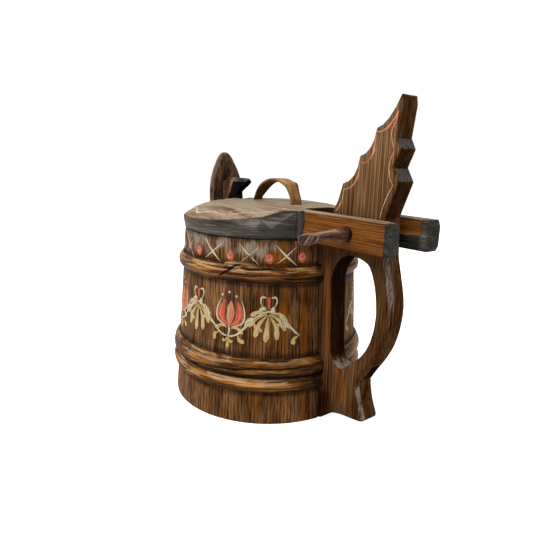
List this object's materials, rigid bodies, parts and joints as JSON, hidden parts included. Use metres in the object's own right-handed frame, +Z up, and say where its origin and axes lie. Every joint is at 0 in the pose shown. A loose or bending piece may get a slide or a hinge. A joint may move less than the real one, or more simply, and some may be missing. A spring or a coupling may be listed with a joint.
{
  "type": "wooden tankard",
  "caption": "Coopered wooden tankard with hooped staves, a carved plank handle with a tall toothed comb, a forked lid on a wooden peg and a bent strap grip.",
  "frame": {"origin": "on the floor under the middle of the object's length and width", "axes": "+Z up, +X from the vessel towards the handle, -Y the side the hinge peg's grip sticks out"},
  "size_m": [0.2742, 0.1963, 0.2809],
  "materials": {
    "handle_pine": "dark walnut stain, satin",
    "stave_pine": "dark walnut stain, satin",
    "hoop_wood": "golden brown stain, satin",
    "lid_pine": "weathered grey brown, matt",
    "strap_wood": "light stain, satin",
    "peg_wood": "whittled, dark stain, satin",
    "raw_pine": "bare pine, matt"
  },
  "bodies": {
    "vessel": {"handle_stave": "handle_pine", "latch_stave": "stave_pine", "stave_near_1": "stave_pine", "stave_near_2": "stave_pine", "stave_near_3": "stave_pine", "stave_near_4": "stave_pine", "stave_near_5": "stave_pine", "stave_near_6": "stave_pine", "stave_far_1": "stave_pine", "stave_far_2": "stave_pine", "stave_far_3": "stave_pine", "stave_far_4": "stave_pine", "stave_far_5": "stave_pine", "stave_far_6": "stave_pine", "bottom_board": "raw_pine", "lower_hoop_foot": "hoop_wood", "lower_hoop_top": "hoop_wood", "upper_hoop": "hoop_wood"},
    "lid": {"lid_board": "lid_pine", "lid_strap": "strap_wood", "strap_wedge_front": "raw_pine", "strap_wedge_rear": "raw_pine"},
    "peg": {"hinge_peg": "peg_wood"}
  },
  "joints": [
    {"name": "lid_hinge", "type": "hinge", "parent": "vessel", "child": "lid", "pos_m": [0.09686, 0, 0.18], "axis": [0, 1, 0], "range_deg": [0, 75]},
    {"name": "peg_pull", "type": "slide", "parent": "vessel", "child": "peg", "axis": [0, -1, 0], "range_m": [0, 0.08]}
  ]
}
